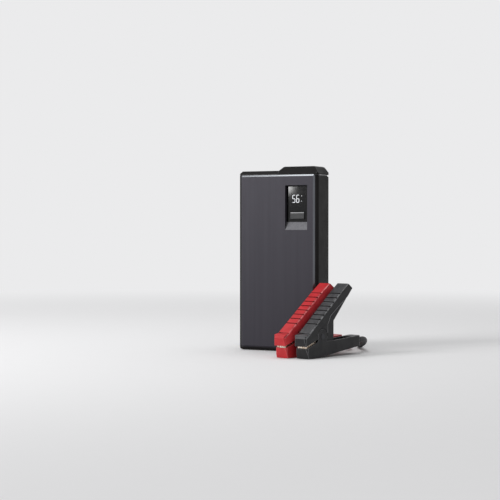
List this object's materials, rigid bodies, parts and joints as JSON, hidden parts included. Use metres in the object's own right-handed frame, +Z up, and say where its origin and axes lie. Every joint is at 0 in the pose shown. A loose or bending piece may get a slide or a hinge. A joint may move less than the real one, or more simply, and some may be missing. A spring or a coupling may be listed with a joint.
{
  "type": "jump starter pack",
  "caption": "Slim upright jump starter pack with a display window, power button and hinged port cover, with red and black spring clamps on a short lead and plug.",
  "frame": {"origin": "centre of the pack's base, on the surface it stands on", "axes": "+Z up, -Y out of the face with the display, +X to the right of that face"},
  "size_m": [0.1409, 0.1925, 0.1717],
  "materials": {
    "housing_black": "fine matt grain",
    "plate_graphite": "satin coat with bright cut bevels",
    "smoked_acrylic": "polished",
    "button_grey": "satin",
    "display_glass": "polished",
    "clear_lens": "polished",
    "board_green": "solder resist",
    "plated_steel": "satin",
    "gold_contact": "plated",
    "copper": "rolled",
    "cell_pouch": "foil",
    "tray_black": "moulded",
    "socket_blue": "moulded",
    "red_nylon": "satin",
    "black_nylon": "satin",
    "red_silicone": "matt",
    "black_silicone": "matt",
    "led_phosphor": "satin"
  },
  "bodies": {
    "pack": {"front_shell": "housing_black", "rear_shell": "housing_black", "face_plate": "plate_graphite", "port_deck": "housing_black", "top_cap": "housing_black", "cover_hinge_pin": "plated_steel", "display_lens": "smoked_acrylic", "display_module": "display_glass", "button_switch": "plated_steel", "main_board": "board_green", "work_light_lens": "clear_lens", "work_light_led": "led_phosphor", "jump_socket": "socket_blue", "jump_contacts": "gold_contact", "usb_a_port": "plated_steel", "usb_c_port": "plated_steel", "battery_tray": "tray_black", "battery_cells": "cell_pouch", "bus_bars": "copper", "case_screws": "plated_steel", "jump_plug": "socket_blue", "plug_bullets": "gold_contact", "red_clamp_base": "red_nylon", "red_lower_jaw": "copper", "red_pivot_pin": "plated_steel", "red_clamp_spring": "plated_steel", "red_lead_boot": "red_silicone", "red_lead": "red_silicone", "black_clamp_base": "black_nylon", "black_lower_jaw": "copper", "black_pivot_pin": "plated_steel", "black_clamp_spring": "plated_steel", "black_lead_boot": "black_silicone", "black_lead": "black_silicone"},
    "button": {"power_button": "button_grey"},
    "cover": {"port_cover": "housing_black"},
    "red_handle": {"red_clamp_arm": "red_nylon", "red_upper_jaw": "copper"},
    "black_handle": {"black_clamp_arm": "black_nylon", "black_upper_jaw": "copper"}
  },
  "joints": [
    {"name": "button_press", "type": "slide", "parent": "pack", "child": "button", "axis": [0, 1, 0], "range_m": [0, 0.0006], "stiffness_N_per_m": 1200},
    {"name": "cover_hinge", "type": "hinge", "parent": "pack", "child": "cover", "pos_m": [0, 0.0117, 0.1652], "axis": [-1, 0, 0], "range_deg": [0, 95]},
    {"name": "red_clamp_squeeze", "type": "hinge", "parent": "pack", "child": "red_handle", "pos_m": [0.03823, -0.052, 0.0187], "axis": [-0.9537, 0.3007, 0], "range_deg": [0, 32], "stiffness_Nm_per_rad": 0.3, "springref_deg": -68.75, "deforming": ["red_clamp_spring"]},
    {"name": "black_clamp_squeeze", "type": "hinge", "parent": "pack", "child": "black_handle", "pos_m": [0.05722, -0.05126, 0.0187], "axis": [-0.9659, 0.2588, 0], "range_deg": [0, 32], "stiffness_Nm_per_rad": 0.3, "springref_deg": -68.75, "deforming": ["black_clamp_spring"]}
  ]
}
